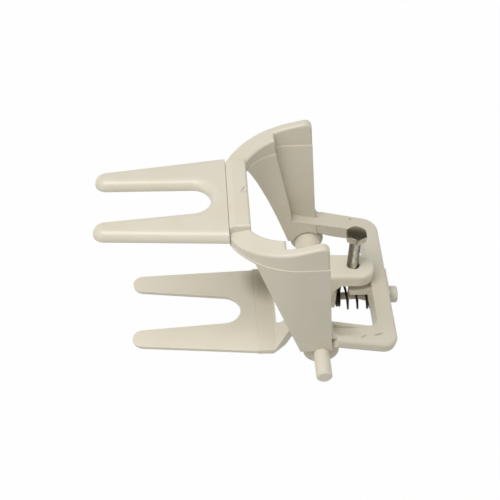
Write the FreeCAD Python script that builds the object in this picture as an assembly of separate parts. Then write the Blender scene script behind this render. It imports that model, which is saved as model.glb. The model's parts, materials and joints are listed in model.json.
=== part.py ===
import FreeCAD, Part

import math
import os

from FreeCAD import Vector

# A sprung fork clamp. X runs along the clamp with the fork tips at -X, Y is the pivot shaft's axis and Z is up,
# square to the upper fork. The origin is the centre of the pivot. All sizes are in millimetres.

# Forks: flat faces towards each other, rounded backs
FORK_LENGTH = 65.0
FORK_ROOT_HALF = 29.4
SLOT_DEPTH = 57.0
SLOT_ROOT_HALF = 9.8
PRONG_TIP_WIDTH = 11.4
UPPER_TIP_HALF = 23.7
LOWER_TIP_HALF = 25.3
UPPER_THICK = 5.4
LOWER_THICK = 4.0
FORK_FACE_ROUND = 0.4
BACK_WALL = 0.4
TONGUE_LENGTH = 7.0
TONGUE_HALF = 15.0
TONGUE_THICK = 2.4

# Upper crossbar
UPPER_SEAM_X = -44.9
UPPER_FACE_Z = 62.8
UPPER_DROOP = 1.9
CROSSBAR_WIDTH = 10.2
CROSSBAR_HALF = 24.6
CROSSBAR_STEP = 0.5
CROSSBAR_TOP_Z = 70.0
CROSSBAR_ROUND = 1.2
CROSSBAR_RAMP = 3.0

# Arch and cheeks
ARCH_HALF = 48.1
ARCH_CORNER_RADIUS = 36.6
ARCH_CORNER_X = -12.0
BAND_WIDTH = 10.6
PANEL_WALL = 5.0
RIM_START_Z = 65.0
RIM_SLOPE = 0.25
BAND_UNDER_Z = 61.0
CHEEK_TAPER = 2.9
DRAFT_TOP_Z = 61.8
DRAFT_STEP = 0.3
DRAFT_SPARE = 20.0
CHEEK_BOTTOM_Z = 2.0
CHEEK_RIGHT_TOP_X = 0.0
CHEEK_RIGHT_BOTTOM_X = 5.2
CHEEK_LEFT_BOTTOM_X = -10.6
CHEEK_LEFT_TOP_X = -33.6
CHEEK_LEFT_BOW = 0.5
RIB_WIDTH_TOP = 14.5
RIB_WIDTH_BOTTOM = 8.0
RIB_LOW_Z = 20.0
RIB_TOP_Z = 65.0
RIM_ROUND = 1.3
RIM_END_ROUND = 3.5
RIM_SLACK = 1e-3

# Ears and pivot
EAR_RADIUS = 8.9
EAR_THICK = 5.0
EAR_INSET = 5.1
EAR_OUTER = ARCH_HALF - EAR_INSET
EAR_INNER = EAR_OUTER - EAR_THICK
NECK_TOP_Z = 12.0
SHAFT_RADIUS = 4.0
JOURNAL_RADIUS = 3.75
JOURNAL_SPARE = 2.6
FREE_END = 15.4
REAR_STUB = 1.5
JOURNAL_FRONT = EAR_OUTER + JOURNAL_SPARE
SHAFT_FRONT = JOURNAL_FRONT + FREE_END
SHAFT_REAR = EAR_OUTER + REAR_STUB
SHAFT_CHAMFER = 0.9
PRESS_GAP = 0.02
RUNNING_GAP = 0.06
WASHER_RADIUS = 7.4
WASHER_THICK = 2.6
WASHER_CLEARANCE = 0.4
WASHER_EDGE = 0.6
SIDE_PLAY = 0.1

# Loop behind the cheeks, built level and then tilted down to the right
LOOP_TILT = 13.0
LOOP_TOP = 13.5
LOOP_THICK = 7.0
LOOP_LEFT = -13.0
LOOP_SHOULDER = 3.4
SHOULDER_LEAN = 2.0
LOOP_END = 37.2
LOOP_INSET = 0.7
LOOP_HALF = ARCH_HALF - LOOP_INSET
LOOP_ARM = 12.2
LOOP_WINDOW_HALF = LOOP_HALF - LOOP_ARM
LOOP_BAR = 10.0
LOOP_OUTER_CORNER = 8.0
LOOP_INNER_CORNER = 6.5
LOOP_ROUND = 2.2
LOOP_END_DRAFT = 0.8
ARM_THINNING = 3.0
THINNING_END = 12.0
RECESS_LEFT = 3.0
RECESS_RIGHT = 19.0
RECESS_DEEP = 2.2
RECESS_EDGE = 2.2
RECESS_WIDTH = 6.2
RECESS_INNER = LOOP_WINDOW_HALF + RECESS_EDGE
RECESS_OUTER = RECESS_INNER + RECESS_WIDTH
ARM_FILLET = 4.5
FILLET_WIDTH = 4.4
FILLET_OUTER = EAR_OUTER + 2.4
FILLET_INNER = FILLET_OUTER - FILLET_WIDTH

# Stop pad, spring lug and spring peg
PAD_TOP_Z = 5.0
PAD_THICK = 3.5
PAD_HALF = 7.3
PAD_LEFT = 17.6
LUG_HALF = 9.5
LUG_INNER_X = 32.5
LUG_OUTER_X = 39.4
LUG_BOTTOM_Z = -13.2
LUG_ROUND = 3.0
SPRING_Z = -6.6
PEG_RADIUS = 3.6
PEG_HEAD_RADIUS = 4.45
PEG_HEAD_LENGTH = 5.4
STEM_RADIUS = 2.0
STEM_TIP_X = 11.0
STEM_FLARE_X = 24.5
STEM_FLARE_END_X = 30.0
PEG_EDGE = 0.6

# Lever, built with its fork level and then tilted about the pivot
LEVER_TILT = 2.0
LEVER_SEAM_X = -29.7
LEVER_FACE_Z = -15.5
LEVER_HALF = 29.6
ARM_INNER = 13.2
ARM_ROOT_HALF = 18.5
ARM_STEP = 2.0
SHOULDER_LENGTH = 9.0
HUB_RADIUS = 6.6
HUB_INSET = 0.6
LEVER_UNDER_ROUND = 3.0
TAB_TOP_Z = 17.1
TAB_THICK = 7.0
TAB_HALF = 8.6
TAB_ROOT_X = -4.0
TAB_ROOT_Z = 9.0
TAB_START_X = 3.0
TAB_UNDER_X = 13.0
TAB_END_X = 30.6
TAB_ROUND = 2.2
HEEL_RADIUS = 5.8
HEEL_FACE_X = 11.6
HEEL_THICK = 3.6
HEEL_SLOT_HALF = 2.5
HEEL_NECK_Z = 3.0

# Stop bolt and its captive nut
BOLT_RADIUS = 3.0
BOLT_X = 19.8
BOLT_LENGTH = 30.0
BOLT_TIP_CHAMFER = 0.6
BOLT_HEAD_HEIGHT = 4.0
HEX_ACROSS_FLATS = 10.0
NUT_HEIGHT = 3.2
STOP_GAP = 0.12

# Closing spring
SPRING_OUTER_RADIUS = 7.5
WIRE_RADIUS = 0.6
SPRING_TURNS = 3
SPRING_END_COILS = 2
SPRING_SEAT_GAP = 0.05
COIL_OVERLAP = 0.08
SPRING_CLEARANCE = 0.5

Y_AXIS = Vector(0, 1, 0)
ORIGIN = Vector(0, 0, 0)
BIG = 200.0


def wire_of(points):
    """Closed wire of straight edges and arcs; an arc is given as a pair (middle point, end point)."""
    edges = []
    here = points[0]
    for item in points[1:] + [points[0]]:
        if isinstance(item, tuple):
            middle, there = item
            edges.append(Part.Arc(here, middle, there).toShape())
        else:
            there = item
            edges.append(Part.LineSegment(here, there).toShape())
        here = there
    return Part.Wire(edges)


def plan_prism(points, low, high):
    """Prism of a plan outline between two heights."""
    face = Part.Face(wire_of([shifted(p, low) for p in points]))
    return face.extrude(Vector(0, 0, high - low))


def shifted(item, z):
    if isinstance(item[0], tuple):
        return tuple(Vector(p[0], p[1], z) for p in item)
    return Vector(item[0], item[1], z)


def side_prism(points, y0, y1):
    """Prism of an outline in X and Z between two values of Y."""
    outline = [Vector(x, y0, z) for x, z in points]
    return Part.Face(wire_of(outline)).extrude(Vector(0, y1 - y0, 0))


def end_prism(points, x0, x1):
    """Prism of an outline in Y and Z between two values of X."""
    outline = [Vector(x0, y, z) for y, z in points]
    return Part.Face(wire_of(outline)).extrude(Vector(x1 - x0, 0, 0))


def block(x0, x1, y0, y1, z0, z1):
    return Part.makeBox(x1 - x0, y1 - y0, z1 - z0, Vector(x0, y0, z0))


def rod_y(radius, y0, y1, x=0.0, z=0.0):
    return Part.makeCylinder(radius, y1 - y0, Vector(x, y0, z), Y_AXIS)


def rod_x(radius, x0, x1, y=0.0, z=0.0):
    return Part.makeCylinder(radius, x1 - x0, Vector(x0, y, z), Vector(1, 0, 0))


def rod_z(radius, z0, z1, x=0.0, y=0.0):
    return Part.makeCylinder(radius, z1 - z0, Vector(x, y, z0), Vector(0, 0, 1))


def hexagon(across_flats, z0, z1, x):
    radius = across_flats / math.sqrt(3)
    corners = [(x + radius * math.cos(a), radius * math.sin(a))
               for a in (math.radians(60 * i + 30) for i in range(6))]
    return plan_prism(corners, z0, z1)


def both_sides(half):
    """A half built at +Y joined to its mirror image."""
    return half.fuse(half.mirror(ORIGIN, Y_AXIS)).removeSplitter()


def turned(shape, degrees):
    copy = shape.copy()
    copy.rotate(ORIGIN, Y_AXIS, degrees)
    return copy


def on_plane(edge, axis, value, slack=1e-3):
    return all(abs(getattr(v.Point, axis) - value) < slack for v in edge.Vertexes)


def rounded(shape, radius, wanted):
    """Shape with the edges that wanted picks filleted."""
    return shape.makeFillet(radius, [e for e in shape.Edges if wanted(e)])


def node(name, shape):
    """Writes one named piece and says what it holds."""
    solids = shape.Solids
    result = solids[0] if len(solids) == 1 else Part.makeCompound(solids)
    result.exportStep(os.path.join("parts", name + ".step"))
    print(name, "solids", len(solids), "volume %.1f" % result.Volume, "valid", result.isValid())


def fork(seam_x, face_z, up, tip_half, thick):
    """Fork with its flat face at face_z and its rounded back on the side that up gives (+1 or -1)."""
    tip_x = seam_x - FORK_LENGTH
    slot_x = tip_x + SLOT_DEPTH
    slot_tip_half = tip_half - PRONG_TIP_WIDTH
    tip_radius = PRONG_TIP_WIDTH / 2
    tip_middle = tip_half - tip_radius
    outline = [(seam_x, -FORK_ROOT_HALF), (seam_x, FORK_ROOT_HALF), (tip_x + tip_radius, tip_half),
               ((tip_x, tip_middle), (tip_x + tip_radius, slot_tip_half)),
               (slot_x - SLOT_ROOT_HALF, SLOT_ROOT_HALF),
               ((slot_x, 0.0), (slot_x - SLOT_ROOT_HALF, -SLOT_ROOT_HALF)),
               (tip_x + tip_radius, -slot_tip_half),
               ((tip_x, -tip_middle), (tip_x + tip_radius, -tip_half))]
    back_z = face_z + up * thick
    plate = plan_prism(outline, min(face_z, back_z), max(face_z, back_z))
    plate = rounded(plate, thick - FORK_FACE_ROUND - BACK_WALL,
                    lambda e: on_plane(e, "z", back_z) and not on_plane(e, "x", seam_x))
    plate = rounded(plate, FORK_FACE_ROUND,
                    lambda e: on_plane(e, "z", face_z) and not on_plane(e, "x", seam_x))
    return plate.fuse(tongue(seam_x, face_z, up * thick, 0.0))


def tongue(seam_x, face_z, rise, gap):
    """The fork's tongue, or its socket in the crossbar when a gap is given; rise runs from face to back."""
    middle = face_z + rise / 2
    half = TONGUE_THICK / 2 + gap
    width = TONGUE_HALF + gap
    return block(seam_x, seam_x + TONGUE_LENGTH + gap, -width, width, middle - half, middle + half)


def drooped(shape):
    """Upper fork or its socket, tilted about the seam so that the tips hang lower."""
    copy = shape.copy()
    copy.rotate(Vector(UPPER_SEAM_X, 0, UPPER_FACE_Z), Y_AXIS, -UPPER_DROOP)
    return copy


def rim_z(x):
    """Height of the sloping rim above a value of X."""
    return RIM_START_Z + RIM_SLOPE * (x - UPPER_SEAM_X)


def arch_solid(inset, step):
    """Half of the space inside a drafted arch face; below the parting line it grows outwards by step."""
    centre_y = ARCH_HALF - ARCH_CORNER_RADIUS
    radius = ARCH_CORNER_RADIUS - inset
    low_z = CHEEK_BOTTOM_Z - DRAFT_SPARE
    shrink = CHEEK_TAPER * (DRAFT_TOP_Z - low_z) / (DRAFT_TOP_Z - CHEEK_BOTTOM_Z)
    foot = radius + step - shrink
    centre = Vector(ARCH_CORNER_X, centre_y, low_z)
    corner = Part.makeCone(foot, radius + step, DRAFT_TOP_Z - low_z, centre)
    corner = corner.fuse(rod_z(radius, DRAFT_TOP_Z, BIG, ARCH_CORNER_X, centre_y))
    outline = [(0, low_z), (centre_y + foot, low_z), (centre_y + radius + step, DRAFT_TOP_Z),
               (centre_y + radius, DRAFT_TOP_Z), (centre_y + radius, BIG), (0, BIG)]
    return corner.fuse(end_prism(outline, ARCH_CORNER_X, BIG))


def cheek_left(z):
    """X of the cheek's slanting left edge at a height, a little bowed."""
    share = (z - CHEEK_BOTTOM_Z) / (BAND_UNDER_Z - CHEEK_BOTTOM_Z)
    straight = CHEEK_LEFT_BOTTOM_X + share * (CHEEK_LEFT_TOP_X - CHEEK_LEFT_BOTTOM_X)
    return straight + CHEEK_LEFT_BOW * 4 * share * (1 - share)


def cheek_right(z):
    slope = (CHEEK_RIGHT_BOTTOM_X - CHEEK_RIGHT_TOP_X) / (rim_z(0.0) - CHEEK_BOTTOM_Z)
    return CHEEK_RIGHT_TOP_X + slope * (rim_z(0.0) - z)


def left_edge_heights():
    steps = 6
    return [CHEEK_BOTTOM_Z + (BAND_UNDER_Z - CHEEK_BOTTOM_Z) * i / steps for i in range(steps + 1)]


def cheek_side(z_low):
    """Side outline of the rim band and the cheek below it."""
    edge = [(cheek_left(z), z) for z in left_edge_heights()]
    return [(UPPER_SEAM_X, BAND_UNDER_Z), (UPPER_SEAM_X, rim_z(UPPER_SEAM_X)),
            (CHEEK_RIGHT_TOP_X, rim_z(CHEEK_RIGHT_TOP_X)), (cheek_right(z_low), z_low)] + edge


def loop_top_z(x):
    """Height of the loop's tilted top plane above a value of X."""
    tilt = math.radians(LOOP_TILT)
    return LOOP_TOP / math.cos(tilt) - x * math.tan(tilt)


def panel_pocket():
    """Space that thins the cheek right of its rib, from the loop's top plane up through the rim."""
    rib_low_x = cheek_left(RIB_LOW_Z) + RIB_WIDTH_BOTTOM
    rib_top_x = cheek_left(BAND_UNDER_Z) + RIB_WIDTH_TOP
    right = CHEEK_RIGHT_BOTTOM_X + 10
    side = [(rib_low_x, loop_top_z(rib_low_x)), (rib_low_x, RIB_LOW_Z), (rib_top_x, RIB_TOP_Z),
            (rib_top_x - 1.0, BIG), (right, BIG), (right, loop_top_z(right))]
    return side_prism(side, 0.0, BIG).common(arch_solid(PANEL_WALL, -DRAFT_STEP))


def cheek_half():
    """Half of the rim, its end rounded, with the cheek below it."""
    side = side_prism(cheek_side(CHEEK_BOTTOM_Z), 0.0, BIG)
    side = rounded(side, RIM_END_ROUND, lambda e: on_plane(e, "x", CHEEK_RIGHT_TOP_X))
    inner_left = UPPER_SEAM_X + CROSSBAR_WIDTH
    inner = arch_solid(BAND_WIDTH, -DRAFT_STEP).common(block(inner_left, BIG, 0.0, BIG, -BIG, BIG))
    band = side.common(arch_solid(0.0, DRAFT_STEP)).cut(inner).cut(panel_pocket())
    return rounded(band, RIM_ROUND, on_rim_edge)


def on_rim_edge(edge):
    """Long upper edges of the rim, without the ends on the seam and on the middle plane."""
    on_rim = all(abs(v.Point.z - rim_z(v.Point.x)) < RIM_SLACK for v in edge.Vertexes)
    return on_rim and not on_plane(edge, "x", UPPER_SEAM_X) and not on_plane(edge, "y", 0.0)


def ear_half():
    """Ear round the shaft, with a neck that blends it into the cheek."""
    ear = rod_y(EAR_RADIUS, EAR_INNER, EAR_OUTER)
    neck = side_prism([(-EAR_RADIUS, 0), (EAR_RADIUS, 0), (cheek_right(NECK_TOP_Z), NECK_TOP_Z),
                       (cheek_left(NECK_TOP_Z), NECK_TOP_Z)], EAR_INNER, EAR_OUTER)
    return ear.fuse(neck)


def loop_outline():
    """Plan outline of half the loop at +Y, going round from its left end."""
    corner = LOOP_OUTER_CORNER
    inner = LOOP_INNER_CORNER
    window_end = LOOP_END - LOOP_BAR
    k = 1 - math.sqrt(0.5)
    end_half = LOOP_HALF - LOOP_END_DRAFT
    return [(LOOP_LEFT, LOOP_WINDOW_HALF), (LOOP_LEFT, EAR_OUTER), (LOOP_SHOULDER, EAR_OUTER),
            (LOOP_SHOULDER + SHOULDER_LEAN, LOOP_HALF), (LOOP_END - corner, end_half),
            ((LOOP_END - k * corner, end_half - k * corner), (LOOP_END, end_half - corner)),
            (LOOP_END, 0.0), (window_end, 0.0), (window_end, LOOP_WINDOW_HALF - inner),
            ((window_end - k * inner, LOOP_WINDOW_HALF - k * inner), (window_end - inner, LOOP_WINDOW_HALF))]


def loop_half():
    low = LOOP_TOP - LOOP_THICK
    ring = plan_prism(loop_outline(), low, LOOP_TOP)
    window_end = LOOP_END - LOOP_BAR

    def outer_edge(e):
        level = on_plane(e, "z", low) or on_plane(e, "z", LOOP_TOP)
        middle = e.CenterOfMass
        outside = middle.x > window_end + 1 or middle.y > LOOP_WINDOW_HALF + 1
        past_shoulder = middle.x > LOOP_SHOULDER + SHOULDER_LEAN + 0.5
        return level and outside and past_shoulder and not on_plane(e, "y", 0.0)
    ring = rounded(ring, LOOP_ROUND, outer_edge)
    ring = ring.cut(side_prism([(LOOP_LEFT - 1, low - 1), (LOOP_LEFT - 1, low + ARM_THINNING),
                                (THINNING_END, low), (THINNING_END, low - 1)], 0.0, BIG))
    return turned(ring, LOOP_TILT)


def front_recess():
    """Shallow ramped hollow in the top of the loop's front arm."""
    side = [(RECESS_LEFT, LOOP_TOP + 1), (RECESS_LEFT, LOOP_TOP - RECESS_DEEP), (RECESS_RIGHT, LOOP_TOP),
            (RECESS_RIGHT, LOOP_TOP + 1)]
    return turned(side_prism(side, -RECESS_OUTER, -RECESS_INNER), LOOP_TILT)


def arm_fillet():
    """Curved web where the cheek's right edge runs into the top of the arm."""
    centre_x = cheek_right(loop_top_z(CHEEK_RIGHT_BOTTOM_X)) + ARM_FILLET
    centre_z = loop_top_z(centre_x) + ARM_FILLET / math.cos(math.radians(LOOP_TILT))
    start_x = centre_x - ARM_FILLET
    low = loop_top_z(centre_x) - 1.0
    web = block(start_x - 1.0, centre_x, FILLET_INNER, FILLET_OUTER, low, centre_z)
    return web.cut(rod_y(ARM_FILLET, 0.0, BIG, centre_x, centre_z))


def crossbar():
    """Bar under the middle of the rim, ramped down to the fork at the seam."""
    x0 = UPPER_SEAM_X
    x1 = x0 + CROSSBAR_WIDTH
    top = CROSSBAR_TOP_Z
    seam_top = UPPER_FACE_Z + UPPER_THICK
    side = [(x0, BAND_UNDER_Z), (x0, seam_top), (x0 + CROSSBAR_RAMP, top), (x1, top), (x1, BAND_UNDER_Z)]
    bar = side_prism(side, -CROSSBAR_HALF, CROSSBAR_HALF)
    ramp_end = x0 + CROSSBAR_RAMP
    return rounded(bar, CROSSBAR_ROUND, lambda e: on_plane(e, "z", top) and not on_plane(e, "x", ramp_end))


def stop_pad():
    low = PAD_TOP_Z - PAD_THICK
    side = [(PAD_LEFT, PAD_TOP_Z), (LUG_INNER_X + 2, PAD_TOP_Z), (LUG_INNER_X + 2, low), (PAD_LEFT + 1, low)]
    return side_prism(side, -PAD_HALF, PAD_HALF)


def spring_lug():
    lug = block(LUG_INNER_X, LUG_OUTER_X, -LUG_HALF, LUG_HALF, LUG_BOTTOM_Z, PAD_TOP_Z - PAD_THICK / 2)
    return rounded(lug, LUG_ROUND,
                   lambda e: on_plane(e, "z", LUG_BOTTOM_Z) and not on_plane(e, "x", LUG_INNER_X))


def jaw_body():
    body = both_sides(cheek_half().fuse([ear_half(), loop_half(), arm_fillet()]))
    body = body.cut(front_recess()).fuse([crossbar(), stop_pad(), spring_lug()])
    body = body.cut(drooped(tongue(UPPER_SEAM_X, UPPER_FACE_Z, UPPER_THICK, PRESS_GAP)))
    body = body.cut(rod_y(JOURNAL_RADIUS + PRESS_GAP, -BIG, BIG))
    body = body.cut(rod_x(PEG_RADIUS + PRESS_GAP, LUG_INNER_X - 1, LUG_OUTER_X + 1, 0.0, SPRING_Z))
    body = body.cut(rod_x(SPRING_OUTER_RADIUS + SPRING_CLEARANCE, HEEL_FACE_X, LUG_INNER_X, 0.0, SPRING_Z))
    body = body.cut(rod_y(WASHER_RADIUS + WASHER_CLEARANCE, -EAR_INNER, EAR_INNER))
    return body.removeSplitter()


def spring_peg():
    """Turned peg: a thin stem that flares into its seat in the lug, with a head outside."""
    end_x = LUG_OUTER_X + PEG_HEAD_LENGTH
    profile = [(STEM_TIP_X, 0), (STEM_TIP_X, STEM_RADIUS), (STEM_FLARE_X, STEM_RADIUS),
               (STEM_FLARE_END_X, PEG_RADIUS), (LUG_OUTER_X, PEG_RADIUS), (LUG_OUTER_X, PEG_HEAD_RADIUS),
               (end_x - PEG_EDGE, PEG_HEAD_RADIUS), (end_x, PEG_HEAD_RADIUS - PEG_EDGE), (end_x, 0)]
    outline = Part.Face(wire_of([Vector(x, 0, SPRING_Z + r) for x, r in profile]))
    return outline.revolve(Vector(0, 0, SPRING_Z), Vector(1, 0, 0), 360)


def pivot_shaft():
    """Shaft with a slightly thinner journal inside the clamp and a full-size free end in front."""
    journal = rod_y(JOURNAL_RADIUS, -JOURNAL_FRONT, SHAFT_REAR)
    shaft = journal.fuse(rod_y(SHAFT_RADIUS, -SHAFT_FRONT, -JOURNAL_FRONT))
    ends = [e for e in shaft.Edges if on_plane(e, "y", -SHAFT_FRONT) or on_plane(e, "y", SHAFT_REAR)]
    return shaft.makeChamfer(SHAFT_CHAMFER, ends)


def hub_washer(side):
    near = EAR_INNER - SIDE_PLAY - WASHER_THICK
    ring = rod_y(WASHER_RADIUS, near, near + WASHER_THICK)
    ring = rounded(ring, WASHER_EDGE, lambda e: on_plane(e, "y", near))
    ring = ring.cut(rod_y(JOURNAL_RADIUS + RUNNING_GAP, 0, BIG))
    return ring if side > 0 else ring.mirror(ORIGIN, Y_AXIS)


def lever_side():
    """Side outline of the lever's crossbar and arms, rising to the hub."""
    under = LEVER_FACE_Z - LOWER_THICK
    top = LEVER_FACE_Z + CROSSBAR_STEP
    bar_end = LEVER_SEAM_X + CROSSBAR_WIDTH
    return [(LEVER_SEAM_X, under), (LEVER_SEAM_X, top), (bar_end - 1, top), (-HUB_RADIUS, 0.0),
            (-1.0, HUB_RADIUS - 1), (1.0, 0.0), (-HUB_RADIUS / 2, 1 - HUB_RADIUS), (bar_end + ARM_STEP, under)]


def lever_plan():
    """Plan of half the crossbar and one arm, which narrows towards the hub."""
    bar_end = LEVER_SEAM_X + CROSSBAR_WIDTH
    return [(LEVER_SEAM_X, 0.0), (LEVER_SEAM_X, LEVER_HALF), (bar_end - ARM_STEP, LEVER_HALF),
            (bar_end + SHOULDER_LENGTH, ARM_ROOT_HALF + 1), (2.0, ARM_ROOT_HALF), (2.0, ARM_INNER),
            (bar_end + ARM_STEP, ARM_INNER), (bar_end, ARM_INNER - ARM_STEP), (bar_end, 0.0)]


def tail_tab():
    """Tab behind the hub that carries the stop bolt, with the web that runs down to the heel."""
    under = TAB_TOP_Z - TAB_THICK
    heel_start = HEEL_FACE_X - HEEL_THICK
    inset = HUB_RADIUS - HUB_INSET
    side = [(-inset, 0.0), (TAB_ROOT_X, TAB_ROOT_Z), (TAB_START_X, TAB_TOP_Z), (TAB_END_X, TAB_TOP_Z),
            (TAB_END_X, under), (TAB_UNDER_X, under), (HEEL_FACE_X - 2, under - 4), (heel_start, 0.0),
            (heel_start, SPRING_Z), (0.0, -inset)]
    wing = side_prism(side, -TAB_HALF, TAB_HALF)
    tip_x = TAB_END_X - TAB_HALF
    plan = plan_prism([(-BIG, -TAB_HALF), (tip_x, -TAB_HALF), ((TAB_END_X, 0.0), (tip_x, TAB_HALF)),
                       (-BIG, TAB_HALF)], -BIG, BIG)
    wing = wing.common(plan)
    return rounded(wing, TAB_ROUND, lambda e: on_plane(e, "z", TAB_TOP_Z) and not on_plane(e, "x", TAB_START_X))


def heel():
    """Forked heel the spring pushes on, and the slot that lets it pass the peg's stem."""
    start = HEEL_FACE_X - HEEL_THICK
    disc = rod_x(HEEL_RADIUS, start, HEEL_FACE_X, 0.0, SPRING_Z)
    neck = block(start - 2, HEEL_FACE_X, -HEEL_RADIUS, HEEL_RADIUS, SPRING_Z, HEEL_NECK_Z)
    slot = block(start - 8, HEEL_FACE_X + 1, -HEEL_SLOT_HALF, HEEL_SLOT_HALF, -BIG, SPRING_Z + HEEL_SLOT_HALF)
    return disc.fuse(neck), slot


def on_lever_underside(edge):
    """Lower outer edges of the lever's crossbar and of the slanting start of its arm."""
    under = LEVER_FACE_Z - LOWER_THICK
    middle = edge.CenterOfMass
    flat = on_plane(edge, "z", under)
    return flat and middle.y > ARM_ROOT_HALF and middle.x > LEVER_SEAM_X + 0.01


def lever_body():
    arms = side_prism(lever_side(), 0.0, BIG).common(plan_prism(lever_plan(), -BIG, BIG))
    arms = both_sides(rounded(arms, LEVER_UNDER_ROUND, on_lever_underside))
    hub_half = EAR_INNER - 2 * SIDE_PLAY - WASHER_THICK
    pad, slot = heel()
    lever = arms.fuse([rod_y(HUB_RADIUS, -hub_half, hub_half), tail_tab(), pad])
    lever = lever.cut(rod_y(JOURNAL_RADIUS + RUNNING_GAP, -BIG, BIG)).cut(slot)
    lever = lever.cut(tongue(LEVER_SEAM_X, LEVER_FACE_Z, -LOWER_THICK, PRESS_GAP))
    lever = lever.cut(rod_z(BOLT_RADIUS + RUNNING_GAP, 0.0, BIG, BOLT_X))
    under = TAB_TOP_Z - TAB_THICK
    pocket_top = under + NUT_HEIGHT + PRESS_GAP
    lever = lever.cut(hexagon(HEX_ACROSS_FLATS + 2 * PRESS_GAP, under - 1, pocket_top, BOLT_X))
    return turned(lever.removeSplitter(), LEVER_TILT)


def stop_bolt():
    tilt = math.radians(LEVER_TILT)
    tip = (PAD_TOP_Z + STOP_GAP + BOLT_X * math.sin(tilt)) / math.cos(tilt) + BOLT_RADIUS * math.tan(tilt)
    shank = rod_z(BOLT_RADIUS, tip, tip + BOLT_LENGTH, BOLT_X)
    shank = shank.makeChamfer(BOLT_TIP_CHAMFER, [e for e in shank.Edges if on_plane(e, "z", tip)])
    top = tip + BOLT_LENGTH + BOLT_HEAD_HEIGHT
    head = hexagon(HEX_ACROSS_FLATS, tip + BOLT_LENGTH, top, BOLT_X)
    corner = HEX_ACROSS_FLATS / math.sqrt(3)
    crown = Part.makeCone(corner + BOLT_HEAD_HEIGHT * 2, HEX_ACROSS_FLATS / 2 - 0.3,
                          BOLT_HEAD_HEIGHT, Vector(BOLT_X, 0, top - BOLT_HEAD_HEIGHT), Vector(0, 0, 1))
    return turned(shank.fuse(head.common(crown)), LEVER_TILT)


def captive_nut():
    under = TAB_TOP_Z - TAB_THICK
    nut = hexagon(HEX_ACROSS_FLATS, under, under + NUT_HEIGHT, BOLT_X)
    return turned(nut.cut(rod_z(BOLT_RADIUS + RUNNING_GAP, 0.0, BIG, BOLT_X)), LEVER_TILT)


def closing_spring():
    mean = SPRING_OUTER_RADIUS - WIRE_RADIUS
    first = HEEL_FACE_X + SPRING_SEAT_GAP + WIRE_RADIUS
    last = LUG_INNER_X - SPRING_SEAT_GAP - WIRE_RADIUS
    step = 2 * WIRE_RADIUS - COIL_OVERLAP
    along = Vector(1, 0, 0)
    coils = []
    for i in range(SPRING_END_COILS):
        for x in (first + i * step, last - i * step):
            coils.append(Part.makeTorus(mean, WIRE_RADIUS, Vector(x, 0, SPRING_Z), along))
    start = first + (SPRING_END_COILS - 1) * step
    length = last - start - (SPRING_END_COILS - 1) * step
    helix = Part.makeHelix(length / SPRING_TURNS, length, mean)
    section = Part.Wire([Part.makeCircle(WIRE_RADIUS, Vector(mean, 0, 0), Y_AXIS)])
    coil = helix.makePipeShell([section], True, True)
    coil.rotate(ORIGIN, Y_AXIS, 90)
    coil.translate(Vector(start, 0, SPRING_Z))
    return coil.fuse(coils)


def main():
    os.makedirs("parts", exist_ok=True)
    node("jaw_body", jaw_body())
    node("upper_fork", drooped(fork(UPPER_SEAM_X, UPPER_FACE_Z, 1, UPPER_TIP_HALF, UPPER_THICK)))
    node("spring_peg", spring_peg())
    node("pivot_shaft", pivot_shaft())
    node("washer_front", hub_washer(-1))
    node("washer_rear", hub_washer(1))
    node("closing_spring", closing_spring())
    node("lever_body", lever_body())
    node("lower_fork", turned(fork(LEVER_SEAM_X, LEVER_FACE_Z, -1, LOWER_TIP_HALF, LOWER_THICK), LEVER_TILT))
    node("captive_nut", captive_nut())
    node("stop_bolt", stop_bolt())


main()
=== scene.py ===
"""Sprung fork clamp: moulded plastic, shaft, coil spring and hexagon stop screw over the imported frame."""
import json
import math

import bmesh
import bpy
from bpy.props import FloatProperty, FloatVectorProperty, PointerProperty
from mathutils import Matrix, Vector


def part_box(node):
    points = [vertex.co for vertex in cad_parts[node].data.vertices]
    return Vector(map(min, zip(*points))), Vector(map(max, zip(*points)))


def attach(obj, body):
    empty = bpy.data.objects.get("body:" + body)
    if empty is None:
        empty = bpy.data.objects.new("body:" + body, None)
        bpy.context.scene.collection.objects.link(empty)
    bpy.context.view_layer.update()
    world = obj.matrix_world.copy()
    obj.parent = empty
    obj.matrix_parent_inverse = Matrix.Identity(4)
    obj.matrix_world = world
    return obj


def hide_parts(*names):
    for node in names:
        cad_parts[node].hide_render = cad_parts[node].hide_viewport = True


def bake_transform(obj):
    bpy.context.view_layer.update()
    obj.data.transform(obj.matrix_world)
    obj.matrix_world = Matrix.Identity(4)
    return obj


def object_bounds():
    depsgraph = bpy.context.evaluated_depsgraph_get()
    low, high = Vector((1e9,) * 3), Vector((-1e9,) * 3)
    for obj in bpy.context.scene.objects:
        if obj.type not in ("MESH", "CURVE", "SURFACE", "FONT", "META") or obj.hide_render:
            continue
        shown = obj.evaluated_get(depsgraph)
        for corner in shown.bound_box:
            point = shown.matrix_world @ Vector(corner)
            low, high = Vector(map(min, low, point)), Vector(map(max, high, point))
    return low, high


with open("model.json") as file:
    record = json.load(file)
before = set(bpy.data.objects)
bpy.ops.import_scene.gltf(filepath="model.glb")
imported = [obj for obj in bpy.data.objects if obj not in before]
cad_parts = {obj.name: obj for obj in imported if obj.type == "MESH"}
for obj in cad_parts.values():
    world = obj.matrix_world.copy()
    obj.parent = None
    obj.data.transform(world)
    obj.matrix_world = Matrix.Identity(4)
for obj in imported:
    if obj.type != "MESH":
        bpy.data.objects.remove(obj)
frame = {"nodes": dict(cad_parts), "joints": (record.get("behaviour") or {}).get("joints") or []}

bl_info = {
    "name": "Sprung Fork Clamp",
    "version": (1, 0, 0),
    "blender": (4, 5, 0),
    "location": "View3D > Sidebar > Clamp",
    "description": "Builds the spring and stop screw of a fork clamp, its finishes and a plain stage",
    "category": "Object",
}

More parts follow.
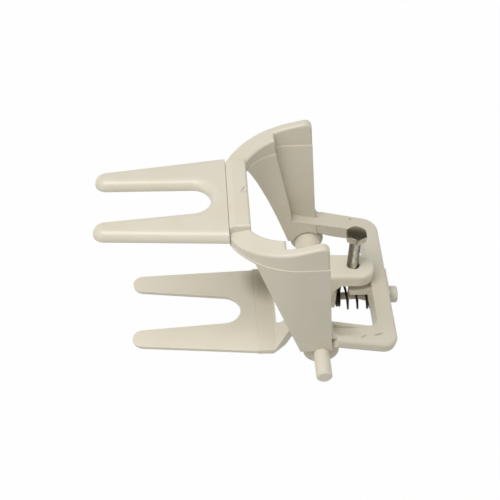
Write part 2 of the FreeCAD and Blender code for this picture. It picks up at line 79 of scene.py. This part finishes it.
MM = 0.001
CAD_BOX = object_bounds()
FLOOR_HALF = 3.0
FLOOR_DROP = 0.032

# Where the line of sight passes the origin, to the right and up, in metres.
CAMERA_ASIDE = (0.033195, -0.020144)

# Mesh detail: sides of the wire and steps a turn of the coil, thread and turned parts.
WIRE_SIDES = 12
COIL_STEPS = 40
THREAD_STEPS = 36
HEAD_STEPS = 120
SHANK_STEPS = 64

# Advance of one closed turn of the spring, in wire diameters.
TOUCHING = 1.02
AXIS_X = Vector((1.0, 0.0, 0.0))
AXIS_Z = Vector((0.0, 0.0, 1.0))

# The screw's own direction, which is also the way it slides in the lever.
SCREW_AXIS = Vector(next(j["axis"] for j in frame["joints"] if j["child"] == "screw")).normalized()

# Places of marks, in millimetres: centre, half lengths, turn about Z in degrees, amount.
# The screw's painted reflections are two dark bands down its shank, which stand in for what a bright shank
# mirrors.

PARTING_Z = 61.8
BODY_SCRATCHES = [
    ((-37.2, 1.5, 70.0), (3.4, 0.55, 0.8), 62.0, 0.5),
    ((-36.4, -0.6, 70.0), (1.8, 0.4, 0.8), 15.0, 0.4),
    ((28.8, -40.3, 7.2), (4.2, 0.9, 1.6), 24.0, 0.50),
    ((21.0, -42.8, 9.0), (2.6, 0.8, 1.6), 35.0, 0.42),
    ((24.0, 43.4, 8.1), (0.9, 0.9, 1.4), 0.0, 0.7),
]
# Painted shade on the body: darker low on the rear cheek's inner panel and in the front arm's recess.
BODY_PAINTED_SHADE = [
    ((-2.0, 40.0, 20.0), (14.0, 8.0, 16.0), 0.0, 0.12),
    ((14.0, -40.0, 9.0), (10.0, 5.0, 5.0), 0.0, 0.12),
]
# Painted reflections: dark bands down the screw's shank.
SCREW_PAINTED_REFLECTIONS = [
    ((23.5, -1.5, 29.0), (3.6, 6.5, 40.0), 0.0, 0.95),
    ((17.1, -1.5, 29.0), (2.9, 6.5, 40.0), 0.0, 0.85),
]
# Painted shadow of the arch, with some real yellowing, at the rear root of the lever and lower fork.
LEVER_PAINTED_SHADOW_AND_STAIN = [
    ((-25.0, 20.0, -15.0), (14.0, 20.0, 8.0), 15.0, 0.75),
]


class ClampPlastic(bpy.types.PropertyGroup):
    """Moulded plastic of the jaws, lever, shaft and peg."""
    cream: FloatVectorProperty(
        name="Cream", description="Main colour of the moulded plastic",
        subtype="COLOR", size=3, min=0.0, max=1.0, default=(0.700, 0.656, 0.545))
    yellowed: FloatVectorProperty(
        name="Yellowed", description="Colour of the aged, slightly yellow patches",
        subtype="COLOR", size=3, min=0.0, max=1.0, default=(0.640, 0.570, 0.400))
    # This colour is the dirt in specks and scratches, and also the colour of the painted shade and shadow
    # patches.
    grime_and_shade: FloatVectorProperty(
        name="Grime", description="Colour of dirt held in corners and scratches",
        subtype="COLOR", size=3, min=0.0, max=1.0, default=(0.23, 0.19, 0.11))
    roughness: FloatProperty(
        name="Roughness", description="Roughness of the satin surface",
        min=0.0, max=1.0, subtype="FACTOR", default=0.36)
    grain: FloatProperty(
        name="Grain", description="Size of the fine grain left by the mould",
        min=0.00005, max=0.005, unit="LENGTH", default=0.0004)
    edge: FloatProperty(
        name="Edge softness", description="Radius to which sharp moulded edges are softened in shading",
        min=0.0, max=0.002, unit="LENGTH", default=0.00025)


class ClampSpring(bpy.types.PropertyGroup):
    """Closing spring between the lever's heel and the body's lug."""
    wire: FloatProperty(
        name="Wire", description="Diameter of the spring wire",
        min=0.0004, max=0.003, unit="LENGTH", default=0.0012)
    outside: FloatProperty(
        name="Outside diameter", description="Outside diameter of the open coils",
        min=0.008, max=0.03, unit="LENGTH", default=0.0149)
    heel_outside: FloatProperty(
        name="Heel coil diameter", description="Outside diameter of the closed coils on the lever's heel",
        min=0.006, max=0.03, unit="LENGTH", default=0.0112)
    heel_turns: FloatProperty(
        name="Heel turns", description="Number of touching turns on the lever's heel",
        min=0.5, max=5.0, default=1.5)
    open_turns: FloatProperty(
        name="Open turns", description="Number of turns with gaps between them",
        min=1.0, max=12.0, default=3.0)
    lug_turns: FloatProperty(
        name="Lug turns", description="Number of touching turns against the body's lug",
        min=0.5, max=5.0, default=1.95)
    phase: FloatProperty(
        name="Phase", description="Angle at which the wire starts on the heel",
        subtype="ANGLE", default=math.radians(90.0))
    steel: FloatVectorProperty(
        name="Spring steel", description="Colour of the dark spring wire",
        subtype="COLOR", size=3, min=0.0, max=1.0, default=(0.035, 0.027, 0.017))


class ClampScrew(bpy.types.PropertyGroup):
    """Hexagon stop screw in the lever's tab."""
    pitch: FloatProperty(
        name="Pitch", description="Distance between two thread crests",
        min=0.0004, max=0.003, unit="LENGTH", default=0.001)
    crest: FloatProperty(
        name="Crest diameter", description="Outside diameter of the thread",
        min=0.003, max=0.012, unit="LENGTH", default=0.00594)
    root: FloatProperty(
        name="Root diameter", description="Diameter at the bottom of the thread",
        min=0.002, max=0.011, unit="LENGTH", default=0.0050)
    plain: FloatProperty(
        name="Plain shank", description="Length of plain shank under the head",
        min=0.0, max=0.03, unit="LENGTH", default=0.0195)
    head: FloatProperty(
        name="Head height", description="Height of the hexagon head",
        min=0.001, max=0.01, unit="LENGTH", default=0.004)
    flats: FloatProperty(
        name="Across flats", description="Width of the head across its flats",
        min=0.004, max=0.02, unit="LENGTH", default=0.0099)
    length: FloatProperty(
        name="Length", description="Length of the screw below its head",
        min=0.01, max=0.06, unit="LENGTH", default=0.03)
    steel: FloatVectorProperty(
        name="Head steel", description="Colour of the screw's head and its nut",
        subtype="COLOR", size=3, min=0.0, max=1.0, default=(0.42, 0.385, 0.29))
    # The shank's colour is a brighter copy of the head's steel, a painted reflection of bright surroundings
    # along the shank.
    shank: FloatVectorProperty(
        name="Shank steel", description="Colour of the screw's brighter shank",
        subtype="COLOR", size=3, min=0.0, max=1.0, default=(0.74, 0.71, 0.62))


class ClampStage(bpy.types.PropertyGroup):
    """Floor, lamps and camera."""
    sky: FloatProperty(
        name="Sky level", description="Strength of the even light from all round",
        min=0.0, max=3.0, default=0.54)
    key: FloatProperty(
        name="Key lamp", description="Power of the large lamp overhead",
        unit="POWER", min=0.0, max=200.0, default=4.4)
    rim: FloatProperty(
        name="Side lamp", description="Power of the narrow lamp that puts gleams on the edges",
        unit="POWER", min=0.0, max=200.0, default=0.3)
    azimuth: FloatProperty(
        name="Azimuth", description="Direction of the camera round the clamp",
        subtype="ANGLE", default=math.radians(-3.715))
    elevation: FloatProperty(
        name="Elevation", description="Height of the camera above the horizon",
        subtype="ANGLE", default=math.radians(44.334))
    roll: FloatProperty(
        name="Roll", description="Turn of the camera about its own line of sight",
        subtype="ANGLE", default=math.radians(0.665))
    distance: FloatProperty(
        name="Distance", description="Distance of the camera along its line of sight",
        unit="LENGTH", min=0.1, max=5.0, default=0.65495)
    lens: FloatProperty(
        name="Lens", description="Focal length for a 36 mm wide sensor",
        min=10.0, max=300.0, default=89.607)


# Node helpers

def new_material(name):
    """Empty node material with a Principled shader wired to its output."""
    material = bpy.data.materials.new(name)
    material.use_nodes = True
    tree = material.node_tree
    tree.nodes.clear()
    shader = tree.nodes.new("ShaderNodeBsdfPrincipled")
    output = tree.nodes.new("ShaderNodeOutputMaterial")
    tree.links.new(shader.outputs["BSDF"], output.inputs["Surface"])
    return material, tree, shader


def coordinates(tree):
    """Place on the piece, in metres."""
    return tree.nodes.new("ShaderNodeTexCoord").outputs["Object"]


def noise(tree, place, size, detail=3.0, roughness=0.5):
    """Cloudy pattern whose blotches are about size metres across."""
    node = tree.nodes.new("ShaderNodeTexNoise")
    node.inputs["Scale"].default_value = 1.0 / size
    node.inputs["Detail"].default_value = detail
    node.inputs["Roughness"].default_value = roughness
    tree.links.new(place, node.inputs["Vector"])
    return node.outputs["Fac"]


def remap(tree, value, low, high, to_low=0.0, to_high=1.0):
    """Value stretched from one range to another and held inside it."""
    node = tree.nodes.new("ShaderNodeMapRange")
    node.interpolation_type = "SMOOTHSTEP"
    for name, number in (("From Min", low), ("From Max", high), ("To Min", to_low), ("To Max", to_high)):
        node.inputs[name].default_value = number
    tree.links.new(value, node.inputs["Value"])
    return node.outputs["Result"]


def mix(tree, share, first, second):
    """Colour between two others; each may be a socket or a plain colour."""
    node = tree.nodes.new("ShaderNodeMix")
    node.data_type = "RGBA"
    tree.links.new(share, node.inputs["Factor"])
    for name, colour in (("A", first), ("B", second)):
        socket = next(s for s in node.inputs if s.name == name and s.type == "RGBA")
        if isinstance(colour, bpy.types.NodeSocket):
            tree.links.new(colour, socket)
        else:
            socket.default_value = (*colour, 1.0)
    return next(s for s in node.outputs if s.type == "RGBA")


def combine(tree, operation, first, second):
    """Two values joined by a maths operation; the second may be a plain number."""
    node = tree.nodes.new("ShaderNodeMath")
    node.operation = operation
    tree.links.new(first, node.inputs[0])
    if isinstance(second, bpy.types.NodeSocket):
        tree.links.new(second, node.inputs[1])
    else:
        node.inputs[1].default_value = second
    return node.outputs["Value"]


def patch(tree, place, centre, size, turn=0.0):
    """Soft ellipsoid, 1 at its centre and 0 outside; size is its half lengths and turn is about Z."""
    mapping = tree.nodes.new("ShaderNodeMapping")
    mapping.vector_type = "TEXTURE"
    mapping.inputs["Location"].default_value = [c * MM for c in centre]
    mapping.inputs["Rotation"].default_value = (0.0, 0.0, math.radians(turn))
    mapping.inputs["Scale"].default_value = [s * MM for s in size]
    ball = tree.nodes.new("ShaderNodeTexGradient")
    ball.gradient_type = "SPHERICAL"
    tree.links.new(place, mapping.inputs["Vector"])
    tree.links.new(mapping.outputs["Vector"], ball.inputs["Vector"])
    return ball.outputs["Fac"]


def bump(tree, height, depth, strength, normal=None):
    """Bump of a real depth in metres, over another normal if one is given."""
    node = tree.nodes.new("ShaderNodeBump")
    node.inputs["Strength"].default_value = strength
    node.inputs["Distance"].default_value = depth
    tree.links.new(height, node.inputs["Height"])
    if normal is not None:
        tree.links.new(normal, node.inputs["Normal"])
    return node.outputs["Normal"]


def soft_edges(tree, radius):
    """Normal that rounds sharp edges to a small radius."""
    node = tree.nodes.new("ShaderNodeBevel")
    node.samples = 6
    node.inputs["Radius"].default_value = radius
    return node.outputs["Normal"]


# Materials

def painted_parting_highlight(tree, place):
    """Mask of a painted highlight: a thin bright line at the level of the mould's parting line, 0 away from
    it.
    """
    height = tree.nodes.new("ShaderNodeSeparateXYZ")
    tree.links.new(place, height.inputs["Vector"])
    away = combine(tree, "ABSOLUTE", combine(tree, "SUBTRACT", height.outputs["Z"], PARTING_Z * MM), 0.0)
    return remap(tree, away, 0.0001, 0.0006, 0.24, 0.0)


def plastic(name, look, painted_light_scale=1.0, rough=0.0, shade_and_stains=(), scratches=(), parting_highlight=False):
    """Cream moulded plastic with faint clouding, fine grain, optional scratches, patches of painted shade and
    stain, and a painted highlight along the parting line.
    """
    material, tree, shader = new_material(name)
    place = coordinates(tree)
    # A scale above 1 gives a lighter copy of the plastic, which is painted light; below 1 a darker copy.
    cream = [min(1.0, c * painted_light_scale) for c in look.cream]
    yellowed = [min(1.0, c * painted_light_scale) for c in look.yellowed]
    cloud = remap(tree, noise(tree, place, 0.022, 4.0), 0.42, 0.78, 0.0, 0.34)
    colour = mix(tree, cloud, cream, yellowed)
    speck = remap(tree, noise(tree, place, 0.0016, 2.0), 0.66, 0.80, 0.0, 0.16)
    colour = mix(tree, speck, colour, look.grime_and_shade)
    # Patches of painted shade and shadow, partly real stain, in the grime colour.
    for centre, size, turn, amount in shade_and_stains:
        share = remap(tree, patch(tree, place, centre, size, turn), 0.0, 0.9, 0.0, amount)
        colour = mix(tree, share, colour, look.grime_and_shade)
    # Painted highlight: a lighter band of the cream along the parting line, where its real small step catches
    # the light.
    if parting_highlight:
        colour = mix(tree, painted_parting_highlight(tree, place), colour, [min(1.0, c * 1.3) for c in cream])
    height = noise(tree, place, look.grain, 2.0)
    normal = bump(tree, height, 0.00001, 0.35, soft_edges(tree, look.edge))
    for centre, size, turn, amount in scratches:
        cut = remap(tree, patch(tree, place, centre, size, turn), 0.0, 0.6, 0.0, amount)
        colour = mix(tree, cut, colour, look.grime_and_shade)
        normal = bump(tree, combine(tree, "MULTIPLY", cut, -1.0), 0.0002, 1.0, normal)
    finish = remap(tree, noise(tree, place, 0.010, 3.0), 0.2, 0.8,
                   look.roughness + rough - 0.015, look.roughness + rough + 0.015)
    tree.links.new(colour, shader.inputs["Base Color"])
    tree.links.new(finish, shader.inputs["Roughness"])
    tree.links.new(normal, shader.inputs["Normal"])
    shader.inputs["IOR"].default_value = 1.48
    return material


def steel(name, colour, rough, grime_and_shade, painted_reflections=()):
    """Steel with a fine grain, smudges, a little dirt and optional dark bands of painted reflection."""
    material, tree, shader = new_material(name)
    place = coordinates(tree)
    grain = noise(tree, place, 0.0004, 3.0, 0.6)
    smudge = noise(tree, place, 0.0035, 3.0)
    dull = mix(tree, remap(tree, smudge, 0.45, 0.75, 0.0, 0.55), colour, [c * 0.55 for c in colour])
    dirt_and_painted_bands = mix(tree, remap(tree, noise(tree, place, 0.0011, 2.0), 0.60, 0.74, 0.0, 0.5), dull, grime_and_shade)
    # Dark bands of painted reflection, laid over the dirt in the grime colour.
    for centre, size, turn, amount in painted_reflections:
        share = remap(tree, patch(tree, place, centre, size, turn), 0.0, 0.6, 0.0, amount)
        dirt_and_painted_bands = mix(tree, share, dirt_and_painted_bands, grime_and_shade)
    finish = remap(tree, smudge, 0.3, 0.75, rough, rough + 0.16)
    tree.links.new(dirt_and_painted_bands, shader.inputs["Base Color"])
    tree.links.new(finish, shader.inputs["Roughness"])
    tree.links.new(bump(tree, grain, 0.000006, 0.3), shader.inputs["Normal"])
    shader.inputs["Metallic"].default_value = 1.0
    return material


def dress(node_name, material):
    """Gives a CAD node one material."""
    mesh = frame["nodes"][node_name].data
    mesh.materials.clear()
    mesh.materials.append(material)


# Mesh helpers

def finish_piece(name, mesh_data, material, sharp=40.0):
    """Object from a bmesh, smooth but for its sharp edges."""
    bmesh.ops.remove_doubles(mesh_data, verts=mesh_data.verts[:], dist=0.002 * MM)
    bmesh.ops.recalc_face_normals(mesh_data, faces=mesh_data.faces[:])
    limit = math.radians(sharp)
    for face in mesh_data.faces:
        face.smooth = True
    for edge in mesh_data.edges:
        if edge.is_manifold:
            edge.smooth = edge.calc_face_angle(0.0) < limit
    mesh = bpy.data.meshes.new(name)
    mesh_data.to_mesh(mesh)
    mesh_data.free()
    mesh.materials.append(material)
    piece = bpy.data.objects.new(name, mesh)
    bpy.context.scene.collection.objects.link(piece)
    return piece


def spun(mesh_data, edges, axis, centre, turns, steps, advance=0.0):
    """Sweeps edges round an axis, moving them along it by advance metres a turn."""
    ends = bmesh.ops.spin(
        mesh_data, geom=edges, axis=axis, cent=centre, dvec=axis * (advance / steps),
        angle=2 * math.pi * turns, steps=round(steps * turns), use_duplicate=False)
    return ends["geom_last"]


def coil(mesh_data, wire, mean_radius, runs):
    """Round wire wound along X from the origin; each run is (turns, advance a turn)."""
    ring = bmesh.ops.create_circle(mesh_data, cap_ends=False, segments=WIRE_SIDES, radius=wire / 2)
    lay_flat = Matrix.Rotation(math.pi / 2, 4, "Z")
    bmesh.ops.transform(mesh_data, matrix=Matrix.Translation((0, mean_radius, 0)) @ lay_flat,
                        verts=ring["verts"])
    start = list({e for v in ring["verts"] for e in v.link_edges})
    bmesh.ops.contextual_create(mesh_data, geom=start)
    reached = start
    centre = Vector((0.0, 0.0, 0.0))
    for turns, advance in runs:
        ends = spun(mesh_data, [g for g in reached if isinstance(g, bmesh.types.BMEdge)],
                    AXIS_X, centre, turns, COIL_STEPS, advance)
        reached = ends
        centre = centre + AXIS_X * advance * turns
    last = [g for g in reached if isinstance(g, bmesh.types.BMEdge)]
    bmesh.ops.contextual_create(mesh_data, geom=last)


def narrow_end(mesh_data, mean_radius, ratio, start, end):
    """Draws the coils in towards the axis, from full size at end to ratio at start, along X."""
    for vert in mesh_data.verts:
        share = min(1.0, max(0.0, (vert.co.x - start) / (end - start)))
        pull = mean_radius * (1.0 - ratio) * (share - 1.0)
        radius = math.hypot(vert.co.y, vert.co.z)
        vert.co.y *= 1.0 + pull / radius
        vert.co.z *= 1.0 + pull / radius


def lathe(mesh_data, profile, segments):
    """Solid of revolution about Z from points (radius, height), open only on the axis."""
    verts = [mesh_data.verts.new((radius, 0.0, height)) for radius, height in profile]
    edges = [mesh_data.edges.new(pair) for pair in zip(verts, verts[1:])]
    bmesh.ops.spin(mesh_data, geom=verts + edges, axis=AXIS_Z, cent=(0, 0, 0), dvec=(0, 0, 0),
                   angle=2 * math.pi, steps=segments, use_merge=True, use_duplicate=False)
    bmesh.ops.remove_doubles(mesh_data, verts=mesh_data.verts[:], dist=0.001 * MM)


def keep_below(mesh_data, point, normal):
    """Cuts away what lies beyond a plane and closes the cut."""
    cut = bmesh.ops.bisect_plane(
        mesh_data, geom=mesh_data.verts[:] + mesh_data.edges[:] + mesh_data.faces[:], dist=1e-9,
        plane_co=point, plane_no=normal, clear_outer=True)
    edges = [g for g in cut["geom_cut"] if isinstance(g, bmesh.types.BMEdge)]
    bmesh.ops.contextual_create(mesh_data, geom=edges)


def hexagon_head(screw):
    """Turned blank with a chamfered crown and a washer face, cut on six flats."""
    head = bmesh.new()
    corner = screw.flats / math.sqrt(3.0)
    crown = screw.flats * 0.475
    drop = (corner - crown) * math.tan(math.radians(30.0))
    face = 0.0002
    lathe(head, [(0.0, screw.head), (crown, screw.head), (corner, screw.head - drop), (corner, face),
                 (crown, face), (crown, 0.0), (0.0, 0.0)], HEAD_STEPS)
    for side in range(6):
        turn = math.radians(60 * side)
        normal = Vector((math.cos(turn), math.sin(turn), 0.0))
        keep_below(head, normal * screw.flats / 2, normal)
    return head


def threaded_shank(screw):
    """Rolled thread cut square at both ends, with a plain shank above it."""
    shank = bmesh.new()
    tip = -screw.length
    top = -screw.plain
    crest = screw.crest / 2
    root = screw.root / 2
    pitch = screw.pitch
    flank = [(root, 0.0), (root, 0.12), (crest, 0.44), (crest, 0.56), (root, 0.88), (root, 1.0)]
    start = tip - 1.5 * pitch
    verts = [shank.verts.new((radius, 0.0, start + share * pitch)) for radius, share in flank]
    edges = [shank.edges.new(pair) for pair in zip(verts, verts[1:])]
    turns = math.ceil((top - start) / pitch) + 1
    spun(shank, verts + edges, AXIS_Z, Vector((0, 0, 0)), turns, THREAD_STEPS, pitch)
    bmesh.ops.remove_doubles(shank, verts=shank.verts[:], dist=0.002 * MM)
    keep_below(shank, (0, 0, tip), -AXIS_Z)
    keep_below(shank, (0, 0, top), AXIS_Z)
    return shank


def plain_shank(screw):
    """Plain length of shank under the head, with a small run-out cone onto the thread."""
    shank = bmesh.new()
    crest = screw.crest / 2
    into_head = 0.0001
    run_out = -screw.plain - 0.0004
    lathe(shank, [(0.0, into_head), (crest, into_head), (crest, -screw.plain), (screw.root / 2, run_out),
                  (0.0, run_out)], SHANK_STEPS)
    return shank


def place_on_screw_axis(mesh_data, foot, tilt):
    """Tilts a mesh built on Z about Y and moves its origin to foot."""
    bmesh.ops.transform(mesh_data, matrix=Matrix.Translation(foot) @ Matrix.Rotation(tilt, 4, "Y"),
                        verts=mesh_data.verts[:])


# Operators

class CLAMP_OT_plastic(bpy.types.Operator):
    """Finish the moulded body, lever, forks, washers, peg and shaft"""
    bl_idname = "clamp.plastic"
    bl_label = "Plastic Finish"

    def execute(self, context):
        look = context.scene.clamp_plastic
        body = plastic("clamp_body_plastic", look, shade_and_stains=BODY_PAINTED_SHADE, scratches=BODY_SCRATCHES, parting_highlight=True)
        # The lever, lower fork and shaft are lighter copies of the plastic, painted light on parts the lamps
        # leave darker; the peg and washers are a slightly darker copy.
        lever = plastic("clamp_lever_plastic", look, painted_light_scale=1.12, shade_and_stains=LEVER_PAINTED_SHADOW_AND_STAIN)
        upper = plastic("clamp_upper_fork_plastic", look, rough=-0.03)
        lower = plastic("clamp_lower_fork_plastic", look, painted_light_scale=1.14, rough=-0.03, shade_and_stains=LEVER_PAINTED_SHADOW_AND_STAIN)
        shaft = plastic("clamp_shaft_plastic", look, painted_light_scale=1.04, rough=-0.05)
        small = plastic("clamp_small_plastic", look, painted_light_scale=0.95, rough=0.02)
        for node, material in (("jaw_body", body), ("lever_body", lever), ("upper_fork", upper),
                               ("lower_fork", lower), ("pivot_shaft", shaft), ("spring_peg", small),
                               ("washer_front", small), ("washer_rear", small)):
            dress(node, material)
        return {"FINISHED"}


class CLAMP_OT_spring(bpy.types.Operator):
    """Wind the closing spring and seat it between the heel and the lug"""
    bl_idname = "clamp.spring"
    bl_label = "Closing Spring"

    def execute(self, context):
        spring = context.scene.clamp_spring
        low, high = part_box("closing_spring")
        axis_z = (low.z + high.z) / 2
        touching = spring.wire * TOUCHING
        at_heel = spring.heel_turns * touching
        at_lug = spring.lug_turns * touching
        advance = (high.x - low.x - spring.wire - at_heel - at_lug) / spring.open_turns
        mean = (spring.outside - spring.wire) / 2
        winding = bmesh.new()
        coil(winding, spring.wire, mean, [(spring.heel_turns, touching), (spring.open_turns, advance),
                                          (spring.lug_turns, touching)])
        narrow_end(winding, mean, spring.heel_outside / spring.outside, at_heel, at_heel + 0.5 * advance)
        place = Matrix.Translation((low.x + spring.wire / 2, 0.0, axis_z))
        turn = Matrix.Rotation(spring.phase, 4, "X")
        bmesh.ops.transform(winding, matrix=place @ turn, verts=winding.verts[:])
        material = steel("clamp_spring_steel", spring.steel, 0.34, (0.02, 0.014, 0.008))
        piece = finish_piece("coil_spring", winding, material, 60.0)
        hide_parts("closing_spring")
        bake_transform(piece)
        return {"FINISHED"}


class CLAMP_OT_screw(bpy.types.Operator):
    """Make the hexagon stop screw with its thread, and finish its nut"""
    bl_idname = "clamp.screw"
    bl_label = "Stop Screw"

    def execute(self, context):
        screw = context.scene.clamp_screw
        tilt = math.atan2(SCREW_AXIS.x, SCREW_AXIS.z)
        top = screw_head_foot(screw, tilt)
        bright = steel("clamp_screw_steel", screw.steel, 0.20, (0.10, 0.085, 0.05))
        # The shank's steel is a brighter copy of the head's and carries the dark bands; both are painted
        # reflections.
        brightened_shank_steel = steel("clamp_shank_steel_painted_reflections", screw.shank, 0.22, (0.07, 0.06, 0.04), SCREW_PAINTED_REFLECTIONS)
        for name, mesh_data, material in (("screw_head", hexagon_head(screw), bright),
                                          ("screw_shank", plain_shank(screw), brightened_shank_steel),
                                          ("screw_thread", threaded_shank(screw), brightened_shank_steel)):
            place_on_screw_axis(mesh_data, top, tilt)
            piece = finish_piece(name, mesh_data, material, 32.0)
            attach(piece, "screw")
            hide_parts("stop_bolt")
        dress("captive_nut", bright)
        return {"FINISHED"}


class CLAMP_OT_stage(bpy.types.Operator):
    """Set out the floor, the even sky, two soft lamps and the camera"""
    bl_idname = "clamp.stage"
    bl_label = "Stage"

    def execute(self, context):
        stage = context.scene.clamp_stage
        context.scene.view_settings.view_transform = "Standard"
        make_floor()
        make_sky(context.scene, stage.sky)
        lamp("overhead", stage.key, 0.45, (-0.28, -0.28, 0.84), (-0.03, 0.0, 0.02))
        lamp("side", stage.rim, 0.20, (-0.60, -0.30, 0.40), (0.0, 0.0, 0.02))
        make_camera(context.scene, stage)
        return {"FINISHED"}


class CLAMP_PT_panel(bpy.types.Panel):
    """Steps that dress the fork clamp"""
    bl_label = "Fork Clamp"
    bl_idname = "CLAMP_PT_panel"
    bl_space_type = "VIEW_3D"
    bl_region_type = "UI"
    bl_category = "Clamp"

    def draw(self, context):
        scene = context.scene
        for group, operator in ((scene.clamp_plastic, "clamp.plastic"), (scene.clamp_spring, "clamp.spring"),
                                (scene.clamp_screw, "clamp.screw"), (scene.clamp_stage, "clamp.stage")):
            column = self.layout.column(align=True)
            for name in group.__annotations__:
                column.prop(group, name)
            column.operator(operator)


def screw_head_foot(screw, tilt):
    """Underside of the screw's head on its axis, found from the CAD node's box.

    The head's upper corner sets the box's high X and Z, and the tip's corner sets its low Z."""
    low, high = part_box("stop_bolt")
    up = Vector((math.sin(tilt), 0.0, math.cos(tilt)))
    corner = screw.flats / math.sqrt(3.0)
    return Vector((high.x - corner * up.z, 0.0, high.z)) - up * screw.head


def make_floor():
    """Plain pale floor far enough below the clamp for the open lever to clear it."""
    ground = bmesh.new()
    grid = bmesh.ops.create_grid(ground, x_segments=1, y_segments=1, size=FLOOR_HALF)
    bmesh.ops.translate(ground, vec=(0.0, 0.0, CAD_BOX[0][2] - FLOOR_DROP), verts=grid["verts"])
    mesh = bpy.data.meshes.new("floor")
    ground.to_mesh(mesh)
    ground.free()
    floor = bpy.data.objects.new("floor", mesh)
    bpy.context.scene.collection.objects.link(floor)
    mesh.materials.append(floor_material())


def floor_material():
    """Matt pale floor that shows as white, with only a trace of shadow, to the eye and in reflections."""
    material, tree, shader = new_material("clamp_floor")
    shader.inputs["Base Color"].default_value = (0.46, 0.45, 0.42, 1.0)
    shader.inputs["Roughness"].default_value = 0.9
    shader.inputs["Specular IOR Level"].default_value = 0.0
    white = tree.nodes.new("ShaderNodeEmission")
    white.inputs["Strength"].default_value = 1.0
    blend = tree.nodes.new("ShaderNodeMixShader")
    path = tree.nodes.new("ShaderNodeLightPath")
    seen = combine(tree, "MAXIMUM", path.outputs["Is Camera Ray"], path.outputs["Is Glossy Ray"])
    seen = combine(tree, "MULTIPLY", seen, 0.985)
    tree.links.new(seen, blend.inputs["Fac"])
    tree.links.new(shader.outputs["BSDF"], blend.inputs[1])
    tree.links.new(white.outputs["Emission"], blend.inputs[2])
    output = next(n for n in tree.nodes if n.type == "OUTPUT_MATERIAL")
    tree.links.new(blend.outputs["Shader"], output.inputs["Surface"])
    return material


def make_sky(scene, level):
    """Even light from all round, seen as white; in reflections it darkens overhead, as in a room."""
    world = bpy.data.worlds.new("clamp_sky")
    world.use_nodes = True
    tree = world.node_tree
    even = tree.nodes["Background"]
    even.inputs["Color"].default_value = (1.0, 0.995, 0.98, 1.0)
    even.inputs["Strength"].default_value = level
    path = tree.nodes.new("ShaderNodeLightPath")
    height = tree.nodes.new("ShaderNodeSeparateXYZ")
    tree.links.new(tree.nodes.new("ShaderNodeTexCoord").outputs["Generated"], height.inputs["Vector"])
    mirrored = tree.nodes.new("ShaderNodeBackground")
    mirrored.inputs["Color"].default_value = (1.0, 0.96, 0.84, 1.0)
    tree.links.new(remap(tree, height.outputs["Z"], 0.05, 0.60, 0.90, 0.10), mirrored.inputs["Strength"])
    seen = tree.nodes.new("ShaderNodeBackground")
    seen.inputs["Color"].default_value = (1.0, 1.0, 1.0, 1.0)
    seen.inputs["Strength"].default_value = 1.0
    shader = even.outputs["Background"]
    for ray, other in (("Is Glossy Ray", mirrored), ("Is Camera Ray", seen)):
        blend = tree.nodes.new("ShaderNodeMixShader")
        tree.links.new(path.outputs[ray], blend.inputs["Fac"])
        tree.links.new(shader, blend.inputs[1])
        tree.links.new(other.outputs["Background"], blend.inputs[2])
        shader = blend.outputs["Shader"]
    tree.links.new(shader, tree.nodes["World Output"].inputs["Surface"])
    scene.world = world


def lamp(name, power, size, place, target):
    """Square lamp aimed at a point."""
    data = bpy.data.lights.new(name, "AREA")
    data.energy = power
    data.size = size
    light = bpy.data.objects.new(name, data)
    light.location = place
    light.rotation_euler = (Vector(target) - Vector(place)).to_track_quat("-Z", "Y").to_euler()
    bpy.context.scene.collection.objects.link(light)


def make_camera(scene, stage):
    """Camera looking down on the clamp from its front."""
    back = Vector((math.sin(stage.azimuth) * math.cos(stage.elevation),
                   -math.cos(stage.azimuth) * math.cos(stage.elevation), math.sin(stage.elevation)))
    right = Vector((math.cos(stage.azimuth), math.sin(stage.azimuth), 0.0))
    up = back.cross(right)
    rolled_right = right * math.cos(stage.roll) + up * math.sin(stage.roll)
    rolled_up = up * math.cos(stage.roll) - right * math.sin(stage.roll)
    place = back * stage.distance - rolled_right * CAMERA_ASIDE[0] - rolled_up * CAMERA_ASIDE[1]
    data = bpy.data.cameras.new("camera")
    data.lens = stage.lens
    data.sensor_width = 36.0
    data.clip_start = 0.01
    camera = bpy.data.objects.new("camera", data)
    turn = Matrix((rolled_right, rolled_up, back)).transposed().to_4x4()
    camera.matrix_world = Matrix.Translation(place) @ turn
    scene.collection.objects.link(camera)
    scene.camera = camera


GROUPS = (("clamp_plastic", ClampPlastic), ("clamp_spring", ClampSpring), ("clamp_screw", ClampScrew),
          ("clamp_stage", ClampStage))
CLASSES = (CLAMP_OT_plastic, CLAMP_OT_spring, CLAMP_OT_screw, CLAMP_OT_stage, CLAMP_PT_panel)


def register():
    for name, group in GROUPS:
        bpy.utils.register_class(group)
        setattr(bpy.types.Scene, name, PointerProperty(type=group))
    for cls in CLASSES:
        bpy.utils.register_class(cls)


def unregister():
    for cls in reversed(CLASSES):
        bpy.utils.unregister_class(cls)
    for name, group in reversed(GROUPS):
        delattr(bpy.types.Scene, name)
        bpy.utils.unregister_class(group)


def main():
    register()
    bpy.ops.clamp.stage()
    bpy.ops.clamp.plastic()
    bpy.ops.clamp.spring()
    bpy.ops.clamp.screw()


if __name__ == "__main__":
    main()
